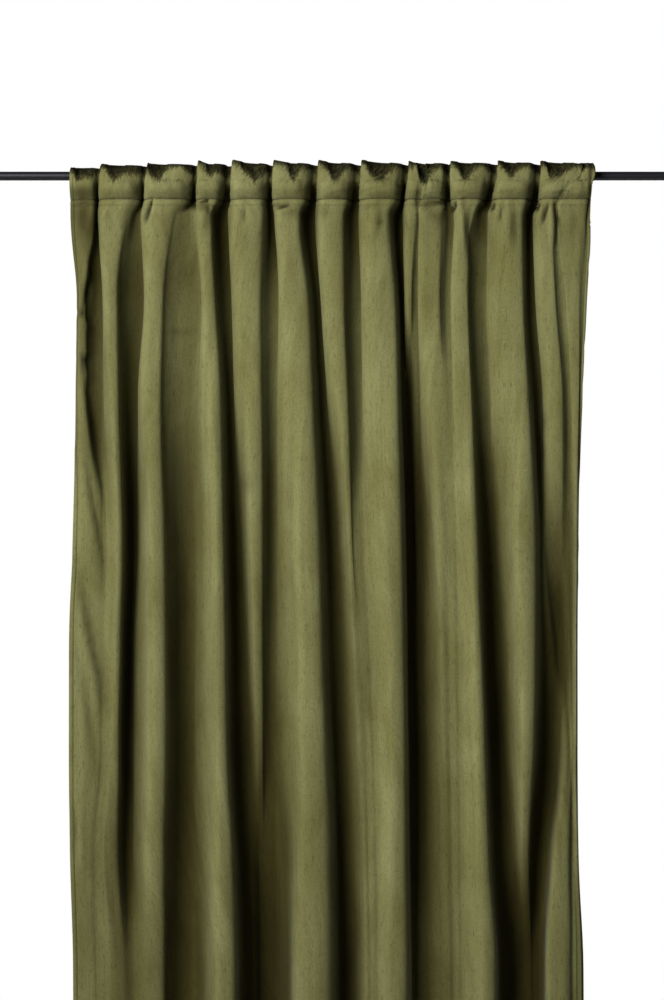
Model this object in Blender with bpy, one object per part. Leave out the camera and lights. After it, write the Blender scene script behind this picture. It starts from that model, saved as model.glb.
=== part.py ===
"""A velvet curtain panel gathered on a slim rod through the pocket along its top.

Sizes are in metres unless a table says otherwise, with +Z up. The rod's axis is the X axis.
The middle of the rod is the origin, and the front of the panel faces -Y.
"""

import math

import bpy
import numpy as np

# Rod
ROD_DIAMETER = 0.016
ROD_LENGTH = 1.400
ROD_CHAMFER = 0.0008
ROD_SIDES = 40

# Cloth
FLAT_WIDTH = 1.400
CLOTH_THICKNESS = 0.0016
BOTTOM_HEM_THICKNESS = 0.0026
SIDE_HEM_THICKNESS = 0.0022
BOTTOM_HEM_TOP = -2.390
HOLLOW_DEPTH = 0.014

# Pocket, with its heights taken from the rod's axis
STITCH_HEIGHT = -0.044
UNDER_ROD_HEIGHT = -0.008
ROD_CLEARANCE = 0.0005
LAYER_SPACING = 0.0027
FRONT_BULGE = 0.024
BACK_BULGE = 0.012
BELLY_UNDER_ROD = 0.006
ROOF_HEIGHT = 0.0165
ROOF_SQUARENESS = 0.65

# Heights of the rows of points up the front, from the bottom hem to just under the stitch line
FRONT_HEIGHTS = (
    -2.480, -2.390, -1.900, -1.423, -1.320, -1.213, -1.120, -1.033, -0.940, -0.853,
    -0.760, -0.673, -0.520, -0.403, -0.310, -0.223, -0.140, -0.085, -0.056,
)
# Heights of the rows inside the pocket, up its front and down its back
POCKET_FRONT_HEIGHTS = (-0.044, -0.026, -0.011)
POCKET_BACK_HEIGHTS = (-0.022, -0.044, -0.055)
# Turns over the rod, in degrees from the front to the back
ROOF_TURNS = (0, 45, 90, 135, 180)
ROOF_WIDEST_TURN = 45

# Heights of the columns of the fold tables, from the rod to the bottom hem
TABLE_HEIGHTS = (0.0, -0.044, -0.072, -0.223, -0.403, -0.673, -0.853, -1.033, -1.213, -1.423, -2.480)

# Left edge of each fold, in millimetres from the middle of the rod
FOLD_LEFT = (
    # rod, stitch, gather, upper, chest, middle, waist, low, lower, foot, hem
    (-470, -470, -470, -459, -461, -466, -472, -472, -470, -464, -461),
    (-416, -418, -419, -412, -410, -403, -419, -410, -423, -418, -414),
    (-333, -337, -342, -338, -349, -349, -355, -356, -351, -346, -342),
    (-241, -243, -243, -234, -238, -241, -243, -245, -243, -238, -238),
    (-180, -182, -185, -180, -175, -162, -155, -149, -144, -139, -137),
    (-106, -106, -103, -95, -97, -97, -94, -94, -92, -92, -92),
    (-25, -27, -29, -20, -7, 14, 22, 27, 32, 38, 40),
    (52, 50, 49, 54, 56, 63, 72, 79, 83, 86, 86),
    (137, 131, 128, 131, 133, 142, 146, 149, 149, 151, 151),
    (167, 160, 157, 155, 160, 166, 167, 171, 173, 178, 182),
    (212, 214, 216, 214, 218, 227, 230, 232, 234, 236, 236),
    (297, 288, 279, 279, 286, 299, 306, 313, 324, 337, 344),
    (374, 371, 362, 367, 380, 385, 403, 403, 391, 382, 382),
    (443, 412, 403, 421, 428, 427, 427, 427, 427, 430, 441),
)

# Foremost line of each fold, in millimetres from the middle of the rod
FOLD_CREST = (
    # rod, stitch, gather, upper, chest, middle, waist, low, lower, foot, hem
    (-443, -441, -439, -443, -443, -436, -445, -437, -446, -439, -436),
    (-385, -396, -407, -401, -394, -383, -389, -394, -414, -385, -378),
    (-306, -313, -313, -326, -329, -322, -320, -322, -324, -320, -317),
    (-227, -230, -232, -225, -216, -207, -207, -205, -203, -202, -202),
    (-151, -153, -157, -153, -149, -144, -139, -135, -133, -130, -130),
    (-79, -79, -79, -68, -59, -58, -50, -50, -54, -58, -58),
    (0, -4, -5, 4, 14, 31, 40, 50, 58, 61, 61),
    (86, 83, 76, 94, 103, 99, 103, 108, 103, 101, 101),
    (146, 142, 139, 135, 137, 146, 149, 153, 153, 155, 155),
    (184, 176, 169, 178, 180, 191, 198, 202, 205, 209, 212),
    (238, 232, 229, 236, 241, 250, 256, 261, 266, 270, 270),
    (324, 315, 313, 328, 338, 331, 338, 340, 340, 349, 353),
    (400, 389, 385, 392, 401, 401, 412, 412, 403, 398, 401),
    (452, 428, 421, 436, 439, 432, 432, 432, 434, 439, 446),
)

# Right edge of each fold, in millimetres from the middle of the rod
FOLD_RIGHT = (
    # rod, stitch, gather, upper, chest, middle, waist, low, lower, foot, hem
    (-425, -425, -425, -432, -425, -414, -430, -416, -430, -425, -421),
    (-344, -346, -349, -378, -374, -374, -378, -380, -374, -353, -349),
    (-252, -256, -272, -281, -295, -295, -293, -292, -295, -295, -295),
    (-193, -200, -214, -207, -196, -191, -187, -184, -173, -166, -164),
    (-117, -119, -119, -124, -122, -121, -122, -122, -122, -119, -119),
    (-41, -43, -54, -38, -29, -16, -11, -4, 4, 7, 7),
    (36, 32, 25, 25, 31, 38, 54, 65, 68, 72, 72),
    (124, 121, 108, 117, 122, 131, 133, 135, 137, 139, 139),
    (157, 151, 151, 146, 146, 151, 155, 158, 158, 160, 160),
    (202, 200, 202, 196, 205, 212, 214, 216, 218, 220, 223),
    (283, 272, 256, 245, 252, 263, 270, 277, 283, 297, 297),
    (360, 355, 346, 346, 356, 369, 369, 365, 356, 362, 365),
    (432, 403, 396, 403, 414, 418, 421, 421, 419, 418, 425),
    (461, 459, 455, 446, 444, 440, 438, 438, 440, 446, 450),
)

# How far the crest of each fold stands forward, in millimetres, before the row is fitted to the flat width
FOLD_REACH = (
    # rod, stitch, gather, upper, chest, middle, waist, low, lower, foot, hem
    (26, 22, 18, 24, 24, 30, 30, 32, 30, 28, 28),
    (34, 34, 34, 38, 40, 38, 38, 36, 31, 26, 26),
    (36, 36, 36, 40, 44, 50, 52, 54, 46, 32, 32),
    (34, 34, 34, 40, 44, 50, 54, 56, 56, 56, 56),
    (36, 36, 36, 38, 40, 38, 30, 16, -16, -22, -22),
    (36, 36, 36, 42, 46, 52, 54, 56, 58, 58, 58),
    (36, 34, 34, 38, 38, 34, 28, 32, 36, 42, 44),
    (38, 38, 38, 44, 48, 52, 56, 58, 60, 60, 60),
    (32, 30, 30, 18, -8, -8, -6, -4, 4, 20, 22),
    (34, 34, 34, 40, 42, 38, 32, 30, 30, 32, 34),
    (36, 36, 38, 46, 52, 58, 60, 62, 62, 62, 62),
    (36, 36, 36, 44, 50, 54, 54, 54, 32, -4, -8),
    (38, 38, 36, 42, 40, 16, -6, 24, 48, 54, 54),
    (36, 34, 34, 32, 30, 27, 27, 27, 29, 36, 36),
)

# How far the hollow on the right of each fold is filled, in millimetres.
# Two folds merge where it nears their crests.
FOLD_HOLLOW = (
    # rod, stitch, gather, upper, chest, middle, waist, low, lower, foot, hem
    (6, 8, 8, 4, 6, 24, 24, 30, 28, 27, 27),
    (10, 10, 10, -4, -8, -12, -12, -10, 6, 26, 26),
    (6, 6, 4, 16, 12, 0, -2, -2, -2, 0, 0),
    (8, 4, -2, -6, -6, -6, -6, -8, -10, -10, -10),
    (8, 6, 4, 6, 8, 8, 6, 0, -16, -20, -20),
    (6, 4, -2, -6, -6, -2, -2, -2, -2, -2, -2),
    (8, 6, 4, 4, 8, 28, 28, 34, 40, 44, 46),
    (6, 4, 0, -4, -8, -8, -6, -4, 5, 20, 22),
    (28, 16, 6, -2, -8, -8, -6, -4, 5, 20, 22),
    (6, 4, 3, 14, 40, 39, 36, 36, 38, 40, 42),
    (6, 6, 8, -4, -6, -4, -4, -4, 3, -8, -8),
    (6, 4, 2, 4, 4, 18, 6, -4, -6, -8, -8),
    (34, 28, 18, 0, -2, 0, -4, 22, 26, 30, 42),
    (30, 28, 28, 26, 26, 26, 26, 26, 28, 34, 34),
)

# Right edge of the panel, in millimetres from the middle of the rod
PANEL_RIGHT = (466, 464, 463, 454, 447, 442, 441, 441, 442, 450, 454)

# The folds' left edges are sharp down to the first height and fully soft at the second
SOFT_FROM = -0.240
SOFT_BY = -0.600
# How much of that softness each fold takes
FOLD_SOFTNESS = (1, 1, 0.8, 0.9, 1, 1, 1, 1, 1, 1, 1, 1, 0.15, 0.3)

# The seven corners of each fold: three up to its crest, two down to its right edge and two in the hollow.
# Each has its share of the way across, its share of the rise and the lift of the roof in millimetres.
# The left ones then have what full softness adds to the two shares.
LEFT_CORNERS = (
    (0.00, 0.55, 2.6, 0.00, -0.43),
    (0.36, 0.88, 0.4, 0.16, -0.34),
    (1.00, 1.00, -0.4, 0.00, 0.00),
)
RIGHT_CORNERS = (
    (0.74, 0.93, 1.0),
    (1.00, 0.55, 0.6),
)
HOLLOW_CORNERS = (
    (0.36, 0.07, -0.6),
    (0.80, 0.00, -2.4),
)


def clear_scene():
    """Remove every object that the startup file brings."""
    for item in list(bpy.data.objects):
        bpy.data.objects.remove(item, do_unlink=True)


def make_material(name, colour, roughness, metallic):
    """Return a Principled material."""
    material = bpy.data.materials.new(name)
    material.use_nodes = True
    shader = material.node_tree.nodes["Principled BSDF"]
    shader.inputs["Base Color"].default_value = (*colour, 1.0)
    shader.inputs["Roughness"].default_value = roughness
    shader.inputs["Metallic"].default_value = metallic
    return material


def make_object(name, points, faces, material):
    """Return a smooth-shaded mesh object that stands at the origin."""
    mesh = bpy.data.meshes.new(name)
    mesh.from_pydata([tuple(point) for point in points], [], faces)
    mesh.materials.append(material)
    for polygon in mesh.polygons:
        polygon.use_smooth = len(polygon.vertices) == 4
    item = bpy.data.objects.new(name, mesh)
    bpy.context.scene.collection.objects.link(item)
    return item


def build_rod(material):
    """Return the rod along X, with flat ends whose rims are chamfered."""
    radius = ROD_DIAMETER / 2
    half = ROD_LENGTH / 2
    stations = (
        (-half, radius - ROD_CHAMFER),
        (-half + ROD_CHAMFER, radius),
        (half - ROD_CHAMFER, radius),
        (half, radius - ROD_CHAMFER),
    )
    points = []
    for along, ring_radius in stations:
        for side in range(ROD_SIDES):
            turn = math.tau * side / ROD_SIDES
            points.append((along, ring_radius * math.cos(turn), ring_radius * math.sin(turn)))
    faces = [tuple(reversed(range(ROD_SIDES)))]
    for ring in range(len(stations) - 1):
        near = ring * ROD_SIDES
        far = near + ROD_SIDES
        for side in range(ROD_SIDES):
            after = (side + 1) % ROD_SIDES
            faces.append((near + side, near + after, far + after, far + side))
    last = (len(stations) - 1) * ROD_SIDES
    faces.append(tuple(range(last, last + ROD_SIDES)))
    return make_object("rod", points, faces, material)


def table_value(row, height):
    """Return a table row's value at a height, on a smooth curve that stays between its entries."""
    heights = TABLE_HEIGHTS[::-1]
    values = row[::-1]
    height = min(max(height, heights[0]), heights[-1])
    slopes = [(values[i + 1] - values[i]) / (heights[i + 1] - heights[i]) for i in range(len(values) - 1)]
    tangents = [slopes[0]]
    for before, after in zip(slopes, slopes[1:]):
        tangents.append(2 * before * after / (before + after) if before * after > 0 else 0.0)
    tangents.append(slopes[-1])
    place = 0
    while place < len(slopes) - 1 and height > heights[place + 1]:
        place += 1
    span = heights[place + 1] - heights[place]
    part = (height - heights[place]) / span
    return (
        (2 * part**3 - 3 * part**2 + 1) * values[place]
        + (part**3 - 2 * part**2 + part) * span * tangents[place]
        + (3 * part**2 - 2 * part**3) * values[place + 1]
        + (part**3 - part**2) * span * tangents[place + 1]
    )


def softness(height):
    """Return how soft the folds' left edges are at a height, from 0 to 1."""
    part = min(max((SOFT_FROM - height) / (SOFT_FROM - SOFT_BY), 0.0), 1.0)
    return part * part * (3 - 2 * part)


def fold_curve(height):
    """Return how far across and forward each corner of a row stands, and the lift of the roof there."""
    lefts = [table_value(row, height) / 1000 for row in FOLD_LEFT]
    lefts.append(table_value(PANEL_RIGHT, height) / 1000)
    across = []
    forward = []
    lift = []
    hollow_before = table_value(FOLD_HOLLOW[0], height) / 1000
    for fold, left in enumerate(lefts[:-1]):
        crest = table_value(FOLD_CREST[fold], height) / 1000
        right = table_value(FOLD_RIGHT[fold], height) / 1000
        reach = table_value(FOLD_REACH[fold], height) / 1000
        hollow = table_value(FOLD_HOLLOW[fold], height) / 1000
        soft = softness(height) * FOLD_SOFTNESS[fold]
        for share, rise, roof, soft_share, soft_rise in LEFT_CORNERS:
            across.append(left + (crest - left) * (share + soft_share * soft))
            forward.append(hollow_before + (reach - hollow_before) * (rise + soft_rise * soft))
            lift.append(roof / 1000)
        for share, rise, roof in RIGHT_CORNERS:
            across.append(crest + (right - crest) * share)
            forward.append(hollow + (reach - hollow) * rise)
            lift.append(roof / 1000)
        for share, rise, roof in HOLLOW_CORNERS:
            across.append(right + (lefts[fold + 1] - right) * share)
            forward.append(hollow + (reach - hollow) * rise)
            lift.append(roof / 1000)
        hollow_before = hollow
    across.append(lefts[-1])
    forward.append(hollow_before)
    lift.append(0.0)
    return np.array(across), np.array(forward), np.array(lift)


def hung_row(height):
    """Return a row of the hung cloth, its folds deepened until it is as long as the cloth is wide."""
    across, forward, _ = fold_curve(height)
    shallow = 0.2
    deep = 3.0
    for _ in range(30):
        depth = (shallow + deep) / 2
        length = np.hypot(np.diff(across), np.diff(forward * depth)).sum()
        if length < FLAT_WIDTH:
            shallow = depth
        else:
            deep = depth
    return across, HOLLOW_DEPTH - forward * depth


def unit(vectors):
    """Return the vectors at length one."""
    return vectors / np.linalg.norm(vectors, axis=-1, keepdims=True)


def behind(across, depth):
    """Return a row moved back by the spacing of the two layers, mitred at its corners."""
    steps = unit(np.column_stack([np.diff(across), np.diff(depth)]))
    before = np.concatenate([steps[:1], steps])
    after = np.concatenate([steps, steps[-1:]])
    along = unit(before + after)
    stretch = LAYER_SPACING / np.maximum((along * before).sum(axis=1), 0.6)
    return across - along[:, 1] * stretch, depth + along[:, 0] * stretch


def cloth_grid():
    """Return the middle of the cloth as rows of points, from the front hem over the rod and down the back."""
    rows = []
    for height in FRONT_HEIGHTS:
        across, depth = hung_row(height)
        rows.append(np.column_stack([across, depth, np.full_like(across, height)]))

    _, forward, lift = fold_curve(0.0)
    share = forward / forward.max()
    clear = ROD_DIAMETER / 2 + ROD_CLEARANCE + CLOTH_THICKNESS / 2
    clear /= math.cos(math.radians(ROOF_WIDEST_TURN / 2))
    rod_front = -clear - FRONT_BULGE * share
    rod_back = clear + BACK_BULGE * (1 - share)
    stitch_across, stitch_depth = hung_row(STITCH_HEIGHT)
    stitch_back_across, stitch_back = behind(stitch_across, stitch_depth)

    for height in POCKET_FRONT_HEIGHTS:
        across, _, _ = fold_curve(height)
        part = min((height - STITCH_HEIGHT) / (UNDER_ROD_HEIGHT - STITCH_HEIGHT), 1.0)
        opened = part * part * (3 - 2 * part)
        belly = BELLY_UNDER_ROD * math.sin(math.pi * part) * share
        depth = stitch_depth * (1 - opened) + rod_front * opened - belly
        rows.append(np.column_stack([across, depth, np.full_like(across, height)]))

    across, _, _ = fold_curve(0.0)
    back_across, _ = behind(across, rod_front)
    middle = (rod_front + rod_back) / 2
    half = (rod_back - rod_front) / 2
    for degrees in ROOF_TURNS:
        turn = math.radians(degrees)
        sideways = across + (back_across - across) * degrees / 180
        forward_share = math.copysign(abs(math.cos(turn)) ** ROOF_SQUARENESS, math.cos(turn))
        height = (ROOF_HEIGHT + lift) * math.sin(turn) ** ROOF_SQUARENESS
        rows.append(np.column_stack([sideways, middle - half * forward_share, height]))

    for height in POCKET_BACK_HEIGHTS:
        if height < STITCH_HEIGHT:
            across, depth = behind(*hung_row(height))
        else:
            plain, _, _ = fold_curve(height)
            across = plain + stitch_back_across - stitch_across
            part = min((height - STITCH_HEIGHT) / (UNDER_ROD_HEIGHT - STITCH_HEIGHT), 1.0)
            opened = part * part * (3 - 2 * part)
            depth = stitch_back * (1 - opened) + rod_back * opened
        rows.append(np.column_stack([across, depth, np.full_like(across, height)]))
    return np.array(rows)


def thicken(grid, thickness):
    """Return the points and faces of a closed sheet whose middle is the grid."""
    up = np.empty_like(grid)
    up[1:-1] = unit(grid[2:] - grid[:-2])
    up[0] = unit(grid[1] - grid[0])
    up[-1] = unit(grid[-1] - grid[-2])
    steps = unit(np.diff(grid, axis=1))
    before = np.concatenate([steps[:, :1], steps], axis=1)
    after = np.concatenate([steps, steps[:, -1:]], axis=1)
    normal_before = unit(np.cross(before, up))
    normal = unit(normal_before + unit(np.cross(after, up)))
    stretch = 1 / np.maximum((normal * normal_before).sum(axis=-1, keepdims=True), 0.6)
    offset = normal * stretch * thickness[..., None] / 2
    rows, columns, _ = grid.shape
    points = np.concatenate([(grid + offset).reshape(-1, 3), (grid - offset).reshape(-1, 3)])
    inner = rows * columns
    faces = []
    for row in range(rows - 1):
        for column in range(columns - 1):
            a = row * columns + column
            b, c, d = a + 1, a + columns + 1, a + columns
            faces.append((a, b, c, d))
            faces.append((inner + d, inner + c, inner + b, inner + a))
    for row in range(rows - 1):
        left = row * columns
        right = left + columns - 1
        faces.append((left, left + columns, inner + left + columns, inner + left))
        faces.append((right, inner + right, inner + right + columns, right + columns))
    top = (rows - 1) * columns
    for column in range(columns - 1):
        faces.append((column + 1, column, inner + column, inner + column + 1))
        faces.append((top + column, top + column + 1, inner + top + column + 1, inner + top + column))
    return points, faces


def build_panel(material):
    """Return the curtain panel, thicker along its hems."""
    grid = cloth_grid()
    thickness = np.full(grid.shape[:2], CLOTH_THICKNESS)
    thickness[:, :2] = SIDE_HEM_THICKNESS
    thickness[:, -2:] = SIDE_HEM_THICKNESS
    thickness[: FRONT_HEIGHTS.index(BOTTOM_HEM_TOP) + 1] = BOTTOM_HEM_THICKNESS
    points, faces = thicken(grid, thickness)
    return make_object("curtain_panel", points, faces, material)


def main():
    """Build the rod and the panel that hangs on it."""
    clear_scene()
    velvet = make_material("olive_velvet", (0.165, 0.155, 0.055), 0.85, 0.0)
    black_paint = make_material("black_rod_paint", (0.012, 0.012, 0.012), 0.38, 0.0)
    build_rod(black_paint)
    build_panel(velvet)


if __name__ == "__main__":
    main()
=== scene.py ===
"""A velvet curtain panel gathered on a slim black rod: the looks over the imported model.

Sizes are in millimetres in the tables of folds and creases and in metres elsewhere, with +Z up. The rod's
axis is the X axis, the middle of the rod is the origin, and the front of the panel faces -Y.
"""

from __future__ import annotations

import logging
import math
from dataclasses import dataclass
from enum import Enum

import bpy
import numpy as np
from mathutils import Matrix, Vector


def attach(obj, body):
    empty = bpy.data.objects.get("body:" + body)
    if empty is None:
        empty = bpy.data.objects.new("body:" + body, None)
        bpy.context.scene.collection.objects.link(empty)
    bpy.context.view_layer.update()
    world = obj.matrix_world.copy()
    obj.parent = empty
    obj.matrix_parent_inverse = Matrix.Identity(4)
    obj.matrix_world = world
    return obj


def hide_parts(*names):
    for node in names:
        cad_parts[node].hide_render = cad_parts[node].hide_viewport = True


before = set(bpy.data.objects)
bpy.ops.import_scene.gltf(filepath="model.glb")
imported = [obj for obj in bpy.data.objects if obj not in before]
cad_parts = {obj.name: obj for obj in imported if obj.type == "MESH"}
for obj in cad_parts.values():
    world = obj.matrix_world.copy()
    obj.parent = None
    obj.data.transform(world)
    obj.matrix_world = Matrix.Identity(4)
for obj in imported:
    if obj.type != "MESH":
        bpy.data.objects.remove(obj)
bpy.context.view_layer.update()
LOG = logging.getLogger("curtain")

MM = 0.001
Array = np.ndarray
Pair = tuple[float, float]
Place = tuple[float, float, float]
Row = tuple[float, ...]
Rows = tuple[Row, ...]
Colour = tuple[float, float, float, float]
WHITE: Colour = (1.0, 1.0, 1.0, 1.0)


# Helpers


def linear(hex_colour: str) -> Colour:
    """Turn an sRGB hex colour into the linear colour that a shader takes.

    Args:
        hex_colour: The colour, such as "#6E6C42".

    Returns:
        Red, green, blue and alpha.
    """
    channels = [int(hex_colour[place : place + 2], 16) / 255 for place in (1, 3, 5)]
    bent = [c / 12.92 if c <= 0.04045 else ((c + 0.055) / 1.055) ** 2.4 for c in channels]
    return bent[0], bent[1], bent[2], 1.0


def add_node(
    tree: bpy.types.NodeTree, kind: str, inputs: dict[str | int, object], **settings: object
) -> bpy.types.Node:
    """Add a node with its settings, and fill its input sockets.

    Args:
        tree: The tree that takes the node.
        kind: The node's type, such as "ShaderNodeTexNoise".
        inputs: For each input socket, its value or the socket to link into it.
        settings: Properties to set on the node.

    Returns:
        The new node.
    """
    node = tree.nodes.new(kind)
    for name, value in settings.items():
        setattr(node, name, value)
    for name, value in inputs.items():
        if isinstance(value, bpy.types.NodeSocket):
            tree.links.new(value, node.inputs[name])
        else:
            node.inputs[name].default_value = value
    return node


def empty_material(name: str) -> tuple[bpy.types.Material, bpy.types.NodeTree, bpy.types.Node]:
    """Make a material that holds one Principled shader.

    Args:
        name: The material's name.

    Returns:
        The material, its node tree and its shader.
    """
    material = bpy.data.materials.new(name)
    material.use_nodes = True
    return material, material.node_tree, material.node_tree.nodes["Principled BSDF"]


def unit(vectors: Array) -> Array:
    """Return the vectors at length one."""
    return vectors / np.maximum(np.linalg.norm(vectors, axis=-1, keepdims=True), 1e-12)


def ramp(value: Array, start: float = 0.0, end: float = 1.0) -> Array:
    """Return a soft step, 0 up to the start and 1 from the end on."""
    t = np.clip((value - start) / (end - start), 0.0, 1.0)
    return t * t * (3 - 2 * t)


def bell(offset: Array, width: float) -> Array:
    """Return a soft bump, 1 where the offset is none and fading over the width."""
    return np.exp(-((offset / width) ** 2))


def curve(t: Array, span: Array, values: tuple[Array, Array], slopes: tuple[Array, Array]) -> Array:
    """Run a smooth curve from one value to the next.

    Args:
        t: The share of the way along.
        span: The length of the way.
        values: The values at its start and its end.
        slopes: The curve's slopes there.

    Returns:
        The values on the way.
    """
    return (
        (2 * t**3 - 3 * t**2 + 1) * values[0]
        + (t**3 - 2 * t**2 + t) * span * slopes[0]
        + (3 * t**2 - 2 * t**3) * values[1]
        + (t**3 - t**2) * span * slopes[1]
    )


def placed(*sides: Array) -> Array:
    """Return points whose sides are the given tables."""
    return np.stack(np.broadcast_arrays(*sides), -1)


def facets(*corners: Array) -> list[tuple[int, ...]]:
    """Return one face for each place in matching tables of its corners' point numbers."""
    return list(zip(*(table.ravel().tolist() for table in corners)))


# Finishes


class Blend(Enum):
    """How one colour is laid over another."""

    MIX = "MIX"
    MULTIPLY = "MULTIPLY"


@dataclass(frozen=True)
class Pattern:
    """A noise on the cloth: its features per metre across and down, its character and its ramp."""

    across: float
    down: float
    detail: float
    roughness: float
    distortion: float = 0.0
    # The noise's values at the ramp's two ends, and what the ramp gives there
    start: float = 0.0
    end: float = 1.0
    low: float = 0.0
    high: float = 1.0


@dataclass(frozen=True)
class CottonVelvet:
    """Olive cut-pile velvet. Its short dense pile is dark face on, pale edge on, and bruises easily."""

    # The darkest colour is painted shade over the rod and in the creases, and the pressed pile of the seams;
    # the next is the paler tone within the painted shade over the rod
    depth_colour: str = "#141206"
    roof_shade_pale_colour: str = "#4A4822"
    shade_colour: str = "#8A8262"
    hollow_colour: str = "#3F3D1B"
    pile_colour: str = "#646137"
    brushed_colour: str = "#77774D"
    sheen_colour: str = "#CDD2BC"
    sheen: float = 0.56
    sheen_roughness: float = 0.38
    roughness: float = 0.88
    specular: float = 0.12
    # Pile laid over by handling, in patches about 70 mm wide and 200 mm long
    patches: Pattern = Pattern(14.0, 5.0, 5.0, 0.62, 0.4, 0.32, 0.68)
    # Streaks where the pile lies one way, about 14 mm wide
    streaks: Pattern = Pattern(70.0, 1.6, 3.0, 0.60, 0.3, 0.32, 0.68, 0.90, 1.10)
    # Mottled pile, about 4 mm across
    mottle: Pattern = Pattern(260.0, 260.0, 4.0, 0.70, 0.0, 0.30, 0.70, 0.84, 1.14)
    # Bruises, dark specks up to 10 mm long where the pile is crushed
    bruises: Pattern = Pattern(110.0, 100.0, 6.0, 0.75, 1.2, 0.27, 0.35, 0.50, 1.0)
    # Tufts in the painted shade over the rod, which rag its edge, about 3 mm wide and 17 mm long
    tufts: Pattern = Pattern(330.0, 60.0, 4.0, 0.70, 0.0, 0.47, 0.70)
    # The pile, drawn about 1 mm coarse so that it shows
    pile: Pattern = Pattern(900.0, 900.0, 3.0, 0.65)
    # How far the tufts and the painted roof shade each push a point into the painted shade, and where it is
    # fully dark
    tuft_push: float = 4.2
    tuft_rest: float = -2.35
    roof_shade_push: float = 1.75
    fully_dark: float = 0.85
    # Bumps of the pile and of its patches: strength, and height in metres
    pile_bump: Pair = (0.35, 0.0006)
    patch_bump: Pair = (0.30, 0.010)

    def make(self) -> bpy.types.Material:
        """Build the velvet, its patterns in metres of cloth on the piece's own UV map.

        Returns:
            The material.
        """
        material, tree, shader = empty_material("olive_cut_pile_velvet")
        cloth = add_node(tree, "ShaderNodeUVMap", {}, uv_map="cloth").outputs["UV"]
        noises, parts = {}, {"white": WHITE, "fully": 1.0}
        for name in ("patches", "streaks", "mottle", "bruises", "tufts", "pile"):
            pattern = getattr(self, name)
            scale = (pattern.across, pattern.down, 1.0)
            place = add_node(tree, "ShaderNodeMapping", {"Vector": cloth, "Scale": scale})
            character = {
                "Scale": 1.0,
                "Detail": pattern.detail,
                "Roughness": pattern.roughness,
                "Distortion": pattern.distortion,
            }
            noise = add_node(tree, "ShaderNodeTexNoise", {"Vector": place.outputs["Vector"], **character})
            before = {"From Min": pattern.start, "From Max": pattern.end}
            after = {"To Min": pattern.low, "To Max": pattern.high}
            reading = add_node(tree, "ShaderNodeMapRange", {"Value": noise.outputs["Fac"], **before, **after})
            noises[name], parts[name] = noise.outputs["Fac"], reading.outputs["Result"]
        for name in ("roof_shade", "painted_hollow_shade", "seam"):
            share = add_node(tree, "ShaderNodeAttribute", {}, attribute_type="GEOMETRY", attribute_name=name)
            parts[name] = share.outputs["Fac"]
        for name in ("depth", "roof_shade_pale", "shade", "hollow", "pile", "brushed"):
            parts[name + "_colour"] = linear(getattr(self, name + "_colour"))

        # Painted shade over the rod, where the cloth stands above the dip line or faces up: nearly black,
        # with a ragged edge
        ragged = {0: noises["tufts"], 1: self.tuft_push, 2: self.tuft_rest}
        pushed = add_node(tree, "ShaderNodeMath", ragged, operation="MULTIPLY_ADD").outputs["Value"]
        turned = {0: parts["roof_shade"], 1: self.roof_shade_push, 2: pushed}
        pushed = add_node(tree, "ShaderNodeMath", turned, operation="MULTIPLY_ADD").outputs["Value"]
        dark = add_node(tree, "ShaderNodeMapRange", {"Value": pushed, "From Max": self.fully_dark})
        parts["dark"] = dark.outputs["Result"]

        for layer, blend, factor, under, over in (
            ("brushed", Blend.MIX, "patches", "pile_colour", "brushed_colour"),
            ("mottled", Blend.MULTIPLY, "fully", "brushed", "mottle"),
            ("laid", Blend.MULTIPLY, "fully", "mottled", "streaks"),
            ("bruised", Blend.MIX, "bruises", "hollow_colour", "laid"),
            # Painted shade over the rod, in its darkest and paler tones
            ("roof_shade_tones", Blend.MIX, "tufts", "depth_colour", "roof_shade_pale_colour"),
            ("deep", Blend.MIX, "dark", "bruised", "roof_shade_tones"),
            # Pile in the hollows, where little light gets in
            ("shade", Blend.MIX, "painted_hollow_shade", "white", "shade_colour"),
            ("shaded", Blend.MULTIPLY, "fully", "deep", "shade"),
            # Pile pressed flat along the seams, and painted shade in the bottoms of the narrow creases
            ("sewn", Blend.MIX, "seam", "shaded", "depth_colour"),
        ):
            colours = {"Factor": parts[factor], "A": parts[under], "B": parts[over]}
            mix = add_node(tree, "ShaderNodeMix", colours, data_type="RGBA", blend_type=blend.value)
            parts[layer] = mix.outputs["Result"]

        # The sheen fades out in the painted shade over the rod and is dimmed by the painted shade of the
        # hollows
        fading = {"Value": parts["dark"], "To Min": self.sheen, "To Max": 0.0}
        sheen = add_node(tree, "ShaderNodeMapRange", fading)
        product = {0: sheen.outputs["Result"], 1: parts["shade"]}
        dimmed = add_node(tree, "ShaderNodeMath", product, operation="MULTIPLY")
        bump = {"Strength": self.pile_bump[0], "Distance": self.pile_bump[1], "Height": parts["pile"]}
        fine = add_node(tree, "ShaderNodeBump", bump)
        bump = {"Strength": self.patch_bump[0], "Distance": self.patch_bump[1], "Height": noises["patches"]}
        soft = add_node(tree, "ShaderNodeBump", {**bump, "Normal": fine.outputs["Normal"]})
        tree.links.new(parts["sewn"], shader.inputs["Base Color"])
        tree.links.new(dimmed.outputs["Value"], shader.inputs["Sheen Weight"])
        tree.links.new(soft.outputs["Normal"], shader.inputs["Normal"])
        shader.inputs["Roughness"].default_value = self.roughness
        shader.inputs["Specular IOR Level"].default_value = self.specular
        shader.inputs["Sheen Roughness"].default_value = self.sheen_roughness
        shader.inputs["Sheen Tint"].default_value = linear(self.sheen_colour)
        return material


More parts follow.
